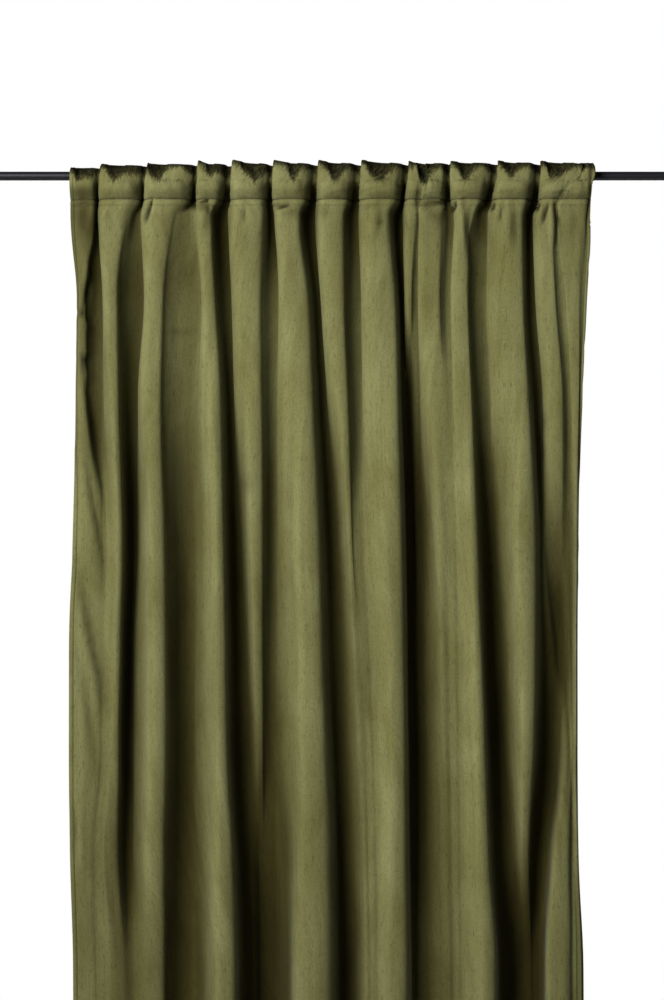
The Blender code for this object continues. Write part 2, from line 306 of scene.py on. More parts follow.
@dataclass(frozen=True)
class SatinBlackPaint:
    """Baked black paint on a drawn steel tube, nearly black with a soft grey line of light along its top."""

    colour: str = "#16171B"
    roughness: float = 0.36
    # How much smoother and rougher the dust makes it
    smoother: float = 0.05
    rougher: float = 0.10
    # Features per metre, about 2 mm and 17 mm
    peel_scale: float = 420.0
    dust_scale: float = 60.0
    peel_bump: Pair = (0.12, 0.0003)

    def make(self) -> bpy.types.Material:
        """Build the paint, with a faint orange peel and dust in metres of the rod.

        Returns:
            The material.
        """
        material, tree, shader = empty_material("satin_black_baked_paint")
        place = add_node(tree, "ShaderNodeTexCoord", {}).outputs["Object"]
        peel_look = {"Vector": place, "Scale": self.peel_scale, "Detail": 2.0}
        peel = add_node(tree, "ShaderNodeTexNoise", peel_look)
        dust_look = {"Vector": place, "Scale": self.dust_scale, "Detail": 5.0, "Roughness": 0.7}
        dust = add_node(tree, "ShaderNodeTexNoise", dust_look)
        ends = {"To Min": self.roughness - self.smoother, "To Max": self.roughness + self.rougher}
        dulled = add_node(tree, "ShaderNodeMapRange", {"Value": dust.outputs["Fac"], **ends})
        relief = {"Strength": self.peel_bump[0], "Distance": self.peel_bump[1], "Height": peel.outputs["Fac"]}
        bump = add_node(tree, "ShaderNodeBump", relief)
        tree.links.new(dulled.outputs["Result"], shader.inputs["Roughness"])
        tree.links.new(bump.outputs["Normal"], shader.inputs["Normal"])
        shader.inputs["Base Color"].default_value = linear(self.colour)
        return material


@dataclass(frozen=True)
class PaleFloorPaint:
    """Matt pale paint on the studio floor."""

    colour: str = "#F2F2F0"
    roughness: float = 0.9

    def make(self) -> bpy.types.Material:
        """Build the floor's paint."""
        material, _, shader = empty_material("matt_pale_floor_paint")
        shader.inputs["Base Color"].default_value = linear(self.colour)
        shader.inputs["Roughness"].default_value = self.roughness
        return material


# The cloth's shape


@dataclass(frozen=True)
class FoldTable:
    """The folds from left to right at eleven heights, in millimetres, with a row for each fold."""

    heights: Row = (0, -44, -72, -223, -403, -673, -853, -1033, -1213, -1423, -2480)
    # Each row: rod, stitch, gather, upper, chest, middle, waist, low, lower, foot, hem
    left: Rows = (
        (-470, -470, -470, -459, -461, -466, -472, -472, -470, -464, -461),
        (-416, -418, -419, -412, -410, -403, -407, -410, -419, -418, -414),
        (-333, -337, -342, -338, -349, -349, -355, -356, -356, -353, -349),
        (-241, -243, -243, -234, -238, -241, -243, -245, -243, -238, -238),
        (-180, -182, -185, -180, -175, -162, -155, -149, -144, -139, -137),
        (-106, -106, -103, -95, -97, -97, -94, -94, -92, -92, -92),
        (-25, -27, -29, -20, -7, 14, 22, 27, 32, 38, 40),
        (52, 50, 49, 54, 56, 63, 72, 79, 83, 86, 86),
        (137, 131, 128, 131, 133, 142, 146, 149, 149, 151, 151),
        (167, 160, 157, 155, 160, 166, 167, 171, 173, 178, 182),
        (212, 214, 220, 214, 218, 227, 230, 232, 234, 236, 236),
        (297, 288, 281, 279, 286, 299, 306, 313, 324, 337, 344),
        (374, 371, 362, 367, 380, 385, 403, 414, 394, 382, 382),
        (443, 412, 403, 421, 430, 434, 434, 434, 434, 437, 441),
    )
    crest: Rows = (
        (-443, -441, -439, -452, -454, -446, -445, -437, -446, -439, -436),
        (-385, -396, -403, -401, -394, -383, -387, -392, -407, -385, -378),
        (-306, -313, -313, -326, -329, -322, -320, -322, -328, -326, -317),
        (-227, -230, -232, -225, -216, -207, -207, -205, -203, -202, -202),
        (-151, -153, -157, -153, -149, -144, -139, -135, -133, -130, -130),
        (-79, -79, -79, -68, -59, -58, -50, -50, -54, -58, -58),
        (0, -4, -5, 4, 14, 31, 40, 50, 58, 61, 61),
        (86, 83, 76, 94, 103, 99, 103, 108, 103, 101, 101),
        (146, 142, 139, 137, 140, 146, 149, 153, 153, 155, 155),
        (184, 176, 169, 178, 180, 191, 198, 202, 205, 209, 212),
        (238, 234, 230, 236, 241, 250, 256, 261, 266, 270, 270),
        (324, 315, 315, 328, 338, 331, 338, 340, 340, 349, 353),
        (400, 389, 385, 392, 401, 401, 412, 421, 398, 385, 387),
        (452, 428, 421, 436, 439, 437, 437, 437, 437, 443, 446),
    )
    right: Rows = (
        (-425, -425, -425, -441, -436, -414, -423, -416, -430, -425, -421),
        (-344, -346, -362, -382, -380, -374, -378, -380, -380, -369, -365),
        (-252, -256, -277, -299, -302, -295, -293, -292, -295, -295, -295),
        (-193, -200, -214, -207, -196, -191, -187, -184, -173, -166, -164),
        (-117, -119, -119, -124, -122, -121, -122, -122, -122, -119, -119),
        (-41, -43, -54, -38, -29, -16, -11, -4, 4, 7, 7),
        (36, 32, 25, 25, 31, 38, 54, 65, 68, 72, 72),
        (124, 121, 108, 117, 122, 131, 133, 135, 137, 139, 139),
        (157, 151, 151, 144, 146, 151, 155, 158, 158, 160, 160),
        (202, 200, 202, 196, 205, 212, 214, 216, 218, 220, 223),
        (283, 272, 259, 245, 252, 263, 270, 277, 283, 297, 297),
        (360, 355, 346, 346, 356, 369, 369, 365, 356, 362, 365),
        (432, 403, 396, 403, 416, 418, 425, 430, 425, 423, 425),
        (461, 459, 455, 446, 444, 440, 438, 438, 440, 446, 450),
    )
    reach: Rows = (
        (26, 22, 18, 20, 22, 30, 30, 32, 30, 28, 28),
        (34, 34, 34, 38, 40, 38, 38, 36, 31, 26, 26),
        (36, 36, 36, 40, 44, 50, 52, 54, 46, 32, 32),
        (34, 34, 34, 40, 44, 50, 54, 56, 56, 56, 56),
        (36, 36, 36, 38, 40, 38, 30, 16, -16, -22, -22),
        (36, 36, 36, 42, 46, 52, 54, 56, 58, 58, 58),
        (36, 34, 34, 38, 38, 34, 28, 32, 36, 42, 44),
        (38, 38, 38, 44, 48, 52, 56, 58, 60, 60, 60),
        (34, 32, 30, 24, -14, -12, -6, -4, 4, 20, 22),
        (34, 34, 34, 40, 42, 38, 32, 30, 30, 32, 34),
        (36, 36, 38, 46, 52, 58, 60, 62, 62, 62, 62),
        (36, 36, 36, 44, 50, 54, 54, 54, 32, -4, -8),
        (38, 38, 36, 42, 40, 16, -6, 24, 48, 54, 54),
        (37, 36, 34, 32, 32, 36, 34, 34, 38, 40, 40),
    )
    # The hollow on the right of each fold
    hollow: Rows = (
        (6, 8, 2, -6, -2, 26, 30, 30, 28, 27, 27),
        (10, 10, 14, -6, -10, -12, -12, -10, 0, 23, 26),
        (6, 6, 24, 9, 5, 0, -2, -2, -2, 0, 0),
        (8, 4, -2, -6, -6, -6, -6, -8, -10, -10, -10),
        (8, 6, 4, 6, 8, 8, 6, 0, -16, -20, -20),
        (6, 4, -2, -6, -6, -2, -2, -2, -2, -2, -2),
        (8, 6, 4, 4, 8, 28, 28, 34, 40, 44, 46),
        (6, 4, 0, -4, -8, -8, -6, -4, 5, 20, 22),
        (31, 28, 26, 14, 2, -8, -6, -4, 5, 20, 22),
        (6, 10, 18, 20, 40, 39, 36, 36, 38, 40, 42),
        (6, 6, 14, 14, 14, 2, -4, -4, 3, -8, -8),
        (6, 4, 2, 4, 4, 18, 6, -4, -6, -8, -8),
        (36, 34, 31, 29, 26, 13, 2, 26, 38, 42, 42),
        (30, 28, 28, 26, 26, 26, 26, 26, 28, 34, 34),
    )
    panel_right: Row = (466, 464, 463, 454, 447, 442, 441, 441, 442, 450, 454)

    def at(self, table: Rows, heights: Array) -> Array:
        """Read a table at many heights, on smooth curves that stay between its entries.

        Args:
            table: Rows of the values at the table's heights, in millimetres.
            heights: The heights to read, in metres.

        Returns:
            One row for each height and one column for each row of the table, in metres.
        """
        knots = np.array(self.heights[::-1]) * MM
        values = np.array(table, float)[:, ::-1] * MM
        at = np.clip(heights, knots[0], knots[-1])
        spans = np.diff(knots)
        slopes = np.diff(values, axis=1) / spans
        before, after = slopes[:, :-1], slopes[:, 1:]
        with np.errstate(divide="ignore", invalid="ignore"):
            inner = np.where(before * after > 0, 2 * before * after / (before + after), 0.0)
        tangents = np.concatenate([slopes[:, :1], inner, slopes[:, -1:]], axis=1)
        place = np.clip(np.searchsorted(knots, at) - 1, 0, len(spans) - 1)
        span = spans[place]
        t = (at - knots[place]) / span
        ends = values[:, place], values[:, place + 1]
        return curve(t, span, ends, (tangents[:, place], tangents[:, place + 1])).T


class CreaseKind(Enum):
    """Which way a crease goes."""

    TROUGH = -1
    RIDGE = 1


@dataclass(frozen=True)
class Crease:
    """A soft crease from one point of the cloth's front to another, across and up, in millimetres."""

    from_x: float
    from_z: float
    to_x: float
    to_z: float
    width: float
    height: float
    kind: CreaseKind = CreaseKind.TROUGH

    def lift(self, across: Array, height: Array) -> Array:
        """Give how far this crease lifts each point off the cloth.

        Args:
            across: The points' places across, in metres.
            height: The points' heights, in metres.

        Returns:
            The lift, in metres, negative in a trough.
        """
        x, z = across - self.from_x * MM, height - self.from_z * MM
        run_x, run_z = (self.to_x - self.from_x) * MM, (self.to_z - self.from_z) * MM
        inside = np.clip((x * run_x + z * run_z) / (run_x**2 + run_z**2), 0.0, 1.0)
        off = np.hypot(x - run_x * inside, z - run_z * inside)
        # A crease fades towards both its ends
        taper = np.sin(np.pi * (0.08 + 0.84 * inside)) ** 0.8
        return self.kind.value * self.height * MM * taper * bell(off, self.width * MM)

    def sharpness(self) -> float:
        """Return how dark the painted shade at the crease's bottom is, most where it is narrow and deep."""
        narrow = min(max((8.0 - self.width) / 3.5, 0.15), 1.0)
        return narrow * min(max(self.height / 5.0, 0.3), 1.0)


RIDGE = CreaseKind.RIDGE

# Main creases, read off the photo one by one: from x and z, to x and z, width, height, and kind if a ridge
CREASE_ROWS = (
    # Tucks and puckers under the stitch line
    (-323, -47, -335, -86, 4.6, 8.0), (-315, -47, -328, -90, 4, 3.0, RIDGE),
    (-396, -47, -412, -83, 5, 3.4, RIDGE), (-396, -47, -380, -90, 5, 3.0, RIDGE),
    (-389, -52, -387, -97, 7, 2.6), (-239, -50, -221, -47, 3.4, 4.0), (-223, -49, -220, -72, 4, 3.0),
    (-99, -61, -76, -56, 3.6, 5.0), (-95, -67, -72, -63, 5, 2.6, RIDGE), (-158, -50, -157, -90, 4, 2.6),
    (63, -50, 65, -90, 5, 1.6), (77, -54, 76, -112, 8, 4.4, RIDGE), (54, -65, 72, -56, 4, 1.4),
    (92, -61, 86, -101, 7, 2.4), (175, -47, 205, -52, 4, 3.0), (166, -52, 194, -83, 9, 4.2),
    (221, -47, 218, -65, 3.4, 7.0), (230, -43, 236, -126, 4.0, 5.4, RIDGE), (248, -54, 250, -155, 9, 6.0),
    (266, -50, 263, -72, 4, 2.0), (290, -49, 286, -65, 4, 5.6), (306, -50, 299, -88, 3.4, 3.4),
    (313, -50, 315, -133, 8, 4.6, RIDGE), (329, -58, 333, -126, 8, 2.6), (371, -49, 367, -67, 4, 7.0),
    (374, -54, 373, -90, 4, 3.4, RIDGE), (388, -50, 377, -88, 3.6, 5.0),
    (392, -47, 394, -126, 5, 5.0, RIDGE), (398, -47, 414, -101, 7, 2.4), (434, -50, 439, -101, 8, 2.4),
    (-446, -54, -450, -108, 8, 2.6), (-432, -50, -436, -94, 5, 2.4, RIDGE),
    (-308, -52, -302, -115, 6, 2.6, RIDGE),
    # Wrinkles over the rod
    (-274, -2, -261, -25, 3.2, 1.6), (443, -2, 452, -25, 3.2, 1.6), (175, -4, 178, -31, 3.2, 2.0, RIDGE),
    (-454, 14, -455, -11, 3.0, 1.8), (-443, 14, -439, -7, 3.0, 1.8), (-427, 11, -430, -14, 3.0, 1.4),
    (-371, 0, -374, -29, 3.0, 1.0), (-284, -4, -288, -32, 3.0, 1.0), (-121, 0, -126, -29, 3.0, 1.2),
    (-52, -4, -56, -32, 3.0, 1.2), (23, -4, 20, -36, 3.0, 1.2), (106, 0, 103, -29, 3.0, 1.2),
    (121, 0, 115, -25, 3.0, 1.0), (189, 0, 191, -32, 3.0, 1.0), (261, -4, 257, -32, 3.0, 1.2),
    (275, 0, 272, -29, 3.0, 1.0), (346, 0, 340, -29, 3.0, 1.2), (416, -4, 412, -32, 3.0, 1.2),
    # Left edge: its puckers and the long diagonal creases below them
    (-455, -245, -436, -256, 5, 4.6), (-455, -263, -436, -277, 6, 2.6, RIDGE),
    (-455, -326, -434, -335, 5, 4.6), (-455, -342, -437, -360, 6, 2.6, RIDGE),
    (-446, -144, -432, -223, 5, 3.0, RIDGE), (-432, -133, -446, -245, 5, 3.4),
    (-445, -346, -419, -529, 7, 5.6), (-454, -367, -436, -475, 6, 3.0, RIDGE),
    (-443, -526, -405, -691, 8, 6.6), (-454, -497, -421, -664, 8, 5.0, RIDGE),
    (-432, -497, -396, -682, 6, 2.4, RIDGE), (-457, -691, -396, -972, 9, 8.0),
    (-461, -756, -421, -943, 9, 5.0, RIDGE), (-432, -691, -385, -871, 9, 2.4, RIDGE),
    (-457, -835, -410, -1105, 9, 4.6), (-463, -1098, -445, -1224, 6, 3.4, RIDGE),
    (-464, -1123, -457, -1213, 5, 2.6), (-446, -1267, -410, -1402, 12, 3.6),
    # Press lines and bruises
    (-304, -279, -238, -283, 3.4, 0.8), (-173, -554, -126, -556, 3.4, 0.8),
    (425, -180, 464, -182, 3.4, 0.9), (263, -317, 306, -302, 4, 1.1), (274, -567, 306, -562, 4, 0.9),
    (148, -626, 176, -583, 4, 0.9), (371, -479, 396, -403, 4.6, 1.4), (364, -529, 385, -486, 4, 1.1),
    (-25, -580, 4, -558, 4, 0.9),
    # The free edge turned forward at the lower right
    (421, -943, 412, -1123, 7, 3.0, RIDGE), (432, -1015, 428, -1303, 6, 2.4),
)

# The line where each scallop turns back over the rod, from its left peak through its dip to its right end
DIP_LINE = (
    (-471, 14), (-469, 10), (-462, 4), (-457, -9), (-451, -7), (-443, 1), (-434, -2), (-427, 5), (-415, 8),
    (-412, 18), (-406, 14), (-401, 4), (-390, -10), (-382, -1), (-371, 5), (-356, 4), (-343, 7), (-334, 2),
    (-331, 11), (-324, 0), (-315, -7), (-304, -6), (-299, 8), (-290, 20), (-272, 20), (-262, 10),
    (-245, 4), (-240, 26), (-229, 24), (-225, 7), (-219, -1), (-209, 7), (-197, 3), (-191, -3), (-183, 2),
    (-178, 27), (-166, 22), (-159, 7), (-150, 4), (-138, -10), (-128, 1), (-119, 7), (-108, 4), (-103, 25),
    (-82, 21), (-74, -3), (-69, -10), (-63, 4), (-53, 13), (-41, 14), (-30, 7), (-22, 24), (-13, 18),
    (-6, 10), (1, -10), (11, -6), (19, 7), (31, 15), (43, 8), (49, 4), (53, 25), (61, 19), (68, 4),
    (75, -4), (90, -9), (100, 4), (112, 13), (124, 16), (135, 4), (140, 22), (151, 19), (157, -9),
    (167, -18), (174, -1), (181, 9), (193, 15), (202, 8), (210, 4), (214, 24), (226, 13), (234, -6),
    (240, -10), (246, 1), (255, 12), (268, 18), (283, 8), (294, 4), (298, 25), (308, 13), (315, 2),
    (322, -3), (330, 10), (343, 17), (355, 17), (366, 7), (373, 4), (377, 23), (385, 13), (389, -4),
    (402, -3), (414, 4), (430, 15), (448, 17), (464, 14),
)

# Painted shade in patches, as across, height, half width, half height and share
SHADE_PATCHES = (
    (-230, -58, 11, 9, 0.6), (-225, -83, 5, 22, 0.4), (-95, -54, 22, 5, 0.5), (-65, -67, 18, 14, 0.35),
    (-13, -65, 14, 13, 0.45), (70, -56, 11, 7, 0.35), (85, -86, 9, 5, 0.4), (175, -52, 22, 9, 0.8),
    (191, -72, 13, 18, 0.6), (-353, -25, 9, 18, 0.5), (-265, -14, 9, 14, 0.35), (-203, -18, 7, 16, 0.4),
    (-130, -22, 9, 16, 0.4), (-56, -25, 9, 14, 0.5), (25, -25, 9, 16, 0.5), (119, -20, 9, 16, 0.45),
    (196, -20, 9, 16, 0.5), (270, -20, 11, 18, 0.5), (349, -25, 9, 16, 0.5), (-400, -101, 9, 22, 0.12),
    (-274, -124, 27, 72, 0.26), (432, -94, 16, 36, 0.2), (-443, -50, 25, 7, 0.4), (-450, -31, 16, 11, 0.4),
    (-439, -94, 16, 40, 0.4), (302, -475, 18, 108, 0.15), (-446, -277, 18, 108, 0.3),
    (-432, -475, 25, 72, 0.2), (122, -691, 32, 90, 0.14), (14, -40, 14, 5, 0.3), (-158, -115, 16, 25, 0.2),
    (311, -277, 9, 54, 0.2), (176, -223, 16, 47, 0.2), (94, -223, 16, 72, 0.15), (-72, -205, 14, 72, 0.15),
    (-421, -1303, 40, 170, 0.3),
)


@dataclass(frozen=True)
class Seam:
    """A seam's groove and its row of pressed pile, with their depth or share and their half widths."""

    groove: float
    groove_width: float
    pressed: float
    pressed_width: float


@dataclass
class CurtainPanel:
    """One velvet panel, its top turned over the rod and stitched to make a pocket."""

    flat_width: float = 1.400
    thickness: float = 0.0016
    bottom_hem_thickness: float = 0.0026
    side_hem_thickness: float = 0.0022
    side_hem_width: float = 0.0075
    bottom_hem_top: float = -2.390
    hem: float = -2.480
    stitch: float = -0.044
    turned_edge: float = -0.055
    under_rod: float = -0.008
    layer_spacing: float = 0.0027
    rod_radius: float = 0.008
    rod_clearance: float = 0.0005
    hollow_depth: float = 0.014
    # How much shallower or deeper than read a row's folds may be, to take up the cloth's width
    depth_range: Pair = (0.2, 3.0)
    depth_halvings: int = 30
    sharpest_corner: float = 0.6
    front_bulge: float = 0.024
    back_bulge: float = 0.012
    belly: float = 0.011
    roof: float = 0.0165
    roof_squareness: float = 0.65
    folds: FoldTable = FoldTable()
    stitch_seam: Seam = Seam(0.0019, 0.0014, 1.0, 0.0011)
    turned_seam: Seam = Seam(0.0005, 0.0016, 0.22, 0.0013)
    hem_seam: Seam = Seam(0.0010, 0.0030, 0.6, 0.0020)
    side_seam: Seam = Seam(0.0008, 0.0018, 0.55, 0.0013)
    # Runs of rows up the front: first height, last height and rows. Then rows in the pocket, roof and back
    row_runs: tuple[tuple[float, float, int], ...] = (
        (-2.330, -1.500, 13),
        (-1.480, -0.330, 42),
        (-0.315, -0.120, 18),
        (-0.112, -0.0565, 22),
    )
    pocket_rows: int = 17
    roof_rows: int = 17
    back_rows: int = 9
    # How far across and how far forward a fold's corners stand, as shares, each with its change when soft
    across_shares: Rows = ((0.36, 0.16), (0.74, 0), (0.36, 0), (0.92, -0.12))
    forward_shares: Rows = ((0.55, -0.43), (0.88, -0.34), (0.93, 0), (0.55, 0), (0.07, 0))
    # Steps of the fine cloth from each of a fold's seven corners to the next
    corner_steps: tuple[int, ...] = (4, 5, 6, 5, 5, 4, 7)
    edge_steps: int = 8
    # How far at most the wrong side is set back from a crease
    most_backed: float = 0.0025
    # Lift of the roof in millimetres: a peak's shape over the seven corners, and each fold's rise and peak
    corner_lift: Row = (3.6, 2.8, 1.1, 0.3, 0.0, -0.8, -1.6)
    rise: Row = (-3.0, 1.0, 2.6, 3.2, 4.0, 4.4, 4.6, 4.8, 5.0, 5.0, 5.0, 5.2, 5.2, 5.0)
    peaks: Row = (0.2, 0.8, 0.9, 2.0, 2.0, 1.8, 1.7, 1.7, 1.3, 0.1, 1.2, 1.3, 1.2, 0)
    # Squareness of the pocket over the rod at each corner
    corner_square: Row = (0.75, 1.25, 1.70, 0.70, 0.62, 0.65, 0.65)
    # Overhang of the left edges, and the heights between which it comes in below the seam and over the rod
    overhang: float = 0.005
    overhang_low_share: float = 0.8
    overhang_turn_share: float = 0.4
    overhang_below: Pair = (-0.060, -0.140)
    overhang_over: Pair = (-0.020, 0.0)
    # Heights between which the left edges soften, and how far each fold's does
    softens: Pair = (-0.240, -0.600)
    softening: Row = (1, 1, 0.8, 0.9, 1, 1, 1, 1, 1, 1, 1, 1, 0.15, 0.3)
    # Lean of the scallops' tops, and how high over the dip line it comes in
    lean: float = 0.013
    leans: Pair = (-0.002, 0.020)
    # Depth at which a hollow is fully in shade, low down and at the heading, and the heights of the change
    full_shade: float = 0.062
    full_shade_high: float = 0.036
    shade_heights: Pair = (-0.420, -0.080)
    lit_depth: float = 0.003
    # The faint shade under the pocket's belly: how much, how far above the stitches and how tall
    belly_shade: float = 0.10
    belly_shade_up: float = 0.007
    belly_shade_height: float = 0.010
    # Painted shade over the rod: how high over the dip line it comes in, and the slope and height that show
    # it
    darkens: Pair = (-0.017, 0.009)
    facing_up: Pair = (0.45, 0.90)
    facing_heights: Pair = (-0.050, -0.040)
    facing_share: float = 0.75
    # Painted shade in the creases: how dark the sharpest crease gets, and a crease's share at which it is
    # that dark
    crease_shade_darkest: float = 0.80
    crease_shade_full: float = 0.80
    # Unevenness of the cloth near the gathers and all over
    fine_slack: float = 0.00075
    broad_slack: float = 0.00050
    dip_line: Rows = DIP_LINE
    shade_patches: Rows = SHADE_PATCHES
    creases: tuple[Crease, ...] = tuple(Crease(*row) for row in CREASE_ROWS)

    def front_heights(self) -> Array:
        """Return the heights of the rows up the front, closer together towards the heading."""
        parts = [
            np.array([self.hem, self.hem + 0.004, self.hem + 0.045]),
            self.bottom_hem_top + np.array([-0.004, 0.0, 0.004]),
            *(np.linspace(*run) for run in self.row_runs),
            np.array([self.turned_edge, -0.0520, -0.0490, -0.0455]),
        ]
        return np.concatenate(parts)

    def overlap(self, heights: Array) -> Array:
        """Return how far each row's left edges lap over the hollow beside them, none at the seam."""
        below = self.overhang_low_share * ramp(heights, *self.overhang_below) * (1 - self.softness(heights))
        return self.overhang * np.maximum(ramp(heights, *self.overhang_over), below)

    def softness(self, heights: Array) -> Array:
        """Return how soft the left edges of the folds are, from 0 at the heading to 1 low down."""
        return ramp(heights, *self.softens)

    def outline(self, heights: Array) -> tuple[Array, Array]:
        """Give the seven corners of each fold at each height.

        Args:
            heights: The heights of the rows, in metres.

        Returns:
            For each row, how far across and how far forward each corner stands.
        """
        table = self.folds
        left = table.at(table.left, heights)
        crest = table.at(table.crest, heights)
        right = table.at(table.right, heights)
        reach = table.at(table.reach, heights)
        hollow = table.at(table.hollow, heights)
        edge = table.at((table.panel_right,), heights)
        following = np.concatenate([left[:, 1:], edge], axis=1)
        hollow_before = np.concatenate([hollow[:, :1], hollow[:, :-1]], axis=1)
        gap = following - right
        soft = self.softness(heights)[:, None] * np.array(self.softening)
        lapped = self.overlap(heights)[:, None]
        shoulder, flank, turned, lip = (share + change * soft for share, change in self.across_shares)
        across = [
            left,
            left + (crest - left) * shoulder,
            crest,
            crest + (right - crest) * flank,
            right,
            right + gap * turned + lapped * self.overhang_turn_share,
            right + gap * lip + lapped,
        ]
        rise_left, rise_right = reach - hollow_before, reach - hollow
        start, shoulder, flank, end, turned = (share + change * soft for share, change in self.forward_shares)
        forward = [
            hollow_before + rise_left * start,
            hollow_before + rise_left * shoulder,
            reach,
            hollow + rise_right * flank,
            hollow + rise_right * end,
            hollow + rise_right * turned,
            hollow,
        ]
        rows = len(heights)
        across_all = np.concatenate([np.stack(across, -1).reshape(rows, -1), edge], 1)
        forward_all = np.concatenate([np.stack(forward, -1).reshape(rows, -1), hollow[:, -1:]], 1)
        return across_all, forward_all

    def hung(self, heights: Array) -> tuple[Array, Array]:
        """Give the corner points of the hung cloth, each row as long as the cloth is wide.

        Args:
            heights: The heights of the rows, in metres.

        Returns:
            For each row, how far across and how deep each corner stands.
        """
        across, forward = self.outline(heights)
        shallow, deep = (np.full((len(heights), 1), end) for end in self.depth_range)
        for _ in range(self.depth_halvings):
            depth = (shallow + deep) / 2
            length = np.hypot(np.diff(across, axis=1), np.diff(forward * depth, axis=1)).sum(1, keepdims=True)
            shallow = np.where(length < self.flat_width, depth, shallow)
            deep = np.where(length < self.flat_width, deep, depth)
        return across, self.hollow_depth - forward * depth

    def behind(self, across: Array, depth: Array) -> tuple[Array, Array]:
        """Move rows back by the spacing of the pocket's two layers.

        Args:
            across: How far across the corners stand.
            depth: How deep they stand.

        Returns:
            The moved rows.
        """
        steps = unit(np.stack([np.diff(across, axis=1), np.diff(depth, axis=1)], -1))
        before = np.concatenate([steps[:, :1], steps], 1)
        after = np.concatenate([steps, steps[:, -1:]], 1)
        along = unit(before + after)
        stretch = self.layer_spacing / np.maximum((along * before).sum(-1), self.sharpest_corner)
        return across - along[..., 1] * stretch, depth + along[..., 0] * stretch

    def corner_rows(self) -> tuple[Array, int]:
        """Give the corner points from the hem up the front, over the rod and down the back.

        Returns:
            Rows of points, and the number of rows on the front up to the stitch line.
        """
        front = self.front_heights()
        across, depth = self.hung(front)
        rows = [placed(across, depth, front[:, None])]

        top_across, forward = (values[0] for values in self.outline(np.array([0.0])))
        count = len(self.folds.left)
        raised = np.outer(self.peaks, self.corner_lift) + np.array(self.rise)[:, None]
        lift = np.array([*raised.ravel(), self.rise[-1]]) * MM
        square = np.array([*self.corner_square * count, self.roof_squareness])
        share = forward / forward.max()
        # The solid's rows over the rod turn by 45 degrees at most, and their flats keep clear of it
        clear = (self.rod_radius + self.rod_clearance + self.thickness / 2) / math.cos(math.pi / 8)
        rod_front = -clear - self.front_bulge * share
        rod_back = clear + self.back_bulge * (1 - share)
        stitch_across, stitch_depth = self.hung(np.array([self.stitch]))
        back_across, back_depth = self.behind(stitch_across, stitch_depth)

        sewn = [self.stitch, self.stitch + 0.0015]
        pocket = np.concatenate([sewn, np.linspace(-0.040, -0.002, self.pocket_rows)])
        across, _ = self.outline(pocket)
        part = np.clip((pocket - self.stitch) / (self.under_rod - self.stitch), 0, 1)[:, None]
        opened = ramp(part)
        bulged = self.belly * np.sin(np.pi * part) * share
        depth = stitch_depth * (1 - opened) + rod_front * opened - bulged
        rows.append(placed(across, depth, pocket[:, None]))

        shifted, _ = self.behind(top_across[None], rod_front[None])
        turn = np.radians(np.linspace(0, 180, self.roof_rows))[:, None]
        middle, half = (rod_front + rod_back) / 2, (rod_back - rod_front) / 2
        bent = np.where(turn < np.pi / 2, square, self.roof_squareness)
        cosine = np.sign(np.cos(turn)) * np.abs(np.cos(turn)) ** bent
        rise = np.abs(np.sin(turn)) ** bent
        sideways = top_across + (shifted - top_across) * turn / np.pi
        rows.append(placed(sideways, middle - half * cosine, (self.roof + lift) * rise))

        down = np.linspace(-0.005, self.turned_edge, self.back_rows)
        plain, _ = self.outline(down)
        part = np.clip((down - self.stitch) / (self.under_rod - self.stitch), 0, 1)[:, None]
        opened = ramp(part)
        across = plain + back_across - stitch_across
        depth = back_depth * (1 - opened) + rod_back * opened
        rows.append(placed(across, depth, down[:, None]))
        return np.concatenate(rows), len(front)

    def steps(self) -> list[int]:
        """Return the number of steps between each corner and the next, more at the panel's two edges."""
        steps = list(self.corner_steps) * len(self.folds.left)
        steps[0] += self.edge_steps
        steps[-1] += self.edge_steps
        return steps

    def rounded(self, corners: Array) -> Array:
        """Run a smooth curve through the corners of each row.

        Args:
            corners: Rows of corner points.

        Returns:
            Rows of the finer points.
        """
        gaps = np.sqrt(np.maximum(np.linalg.norm(np.diff(corners, axis=1), axis=-1), 1e-9))
        knots = np.concatenate([np.zeros((len(corners), 1)), np.cumsum(gaps, 1)], 1)[..., None]
        tangents = np.empty_like(corners)
        spans = np.diff(knots, axis=1)
        slopes = np.diff(corners, axis=1) / spans
        before, after = spans[:, :-1], spans[:, 1:]
        tangents[:, 1:-1] = (slopes[:, :-1] * after + slopes[:, 1:] * before) / (before + after)
        tangents[:, 0] = slopes[:, 0]
        tangents[:, -1] = slopes[:, -1]
        pieces = []
        for place, count in enumerate(self.steps()):
            t = (np.arange(count) / count)[None, :, None]
            span = (knots[:, place + 1] - knots[:, place])[:, None]
            ends = corners[:, place, None], corners[:, place + 1, None]
            pieces.append(curve(t, span, ends, (tangents[:, place, None], tangents[:, place + 1, None])))
        pieces.append(corners[:, -1:])
        return np.concatenate(pieces, 1)

    def normals(self, grid: Array) -> Array:
        """Return the direction square to the cloth at each point, out of its face side."""
        up = np.gradient(grid, axis=0)
        along = np.gradient(grid, axis=1)
        return unit(np.cross(unit(along), unit(up)))

    def crushed(self, grid: Array, on_front: Array) -> Array:
        """Lean the top of each scallop back over the rod, above a line that dips in a V.

        Args:
            grid: Rows of the cloth's points.
            on_front: Which rows are in front of the rod's top.

        Returns:
            How deep each point stands, never closer to the rod than its clearance.
        """
        across, depth, height = grid[..., 0], grid[..., 1], grid[..., 2]
        leaning = self.lean * ramp(self.dipped(across, height), *self.leans) * on_front
        clear = self.rod_radius + self.rod_clearance + self.thickness
        nearest = -np.sqrt(np.maximum(clear**2 - np.maximum(height, 0.0) ** 2, 0.0))
        leaned = depth + leaning
        free = (height > clear) | (depth > nearest)
        return np.where(free, leaned, np.minimum(leaned, nearest))

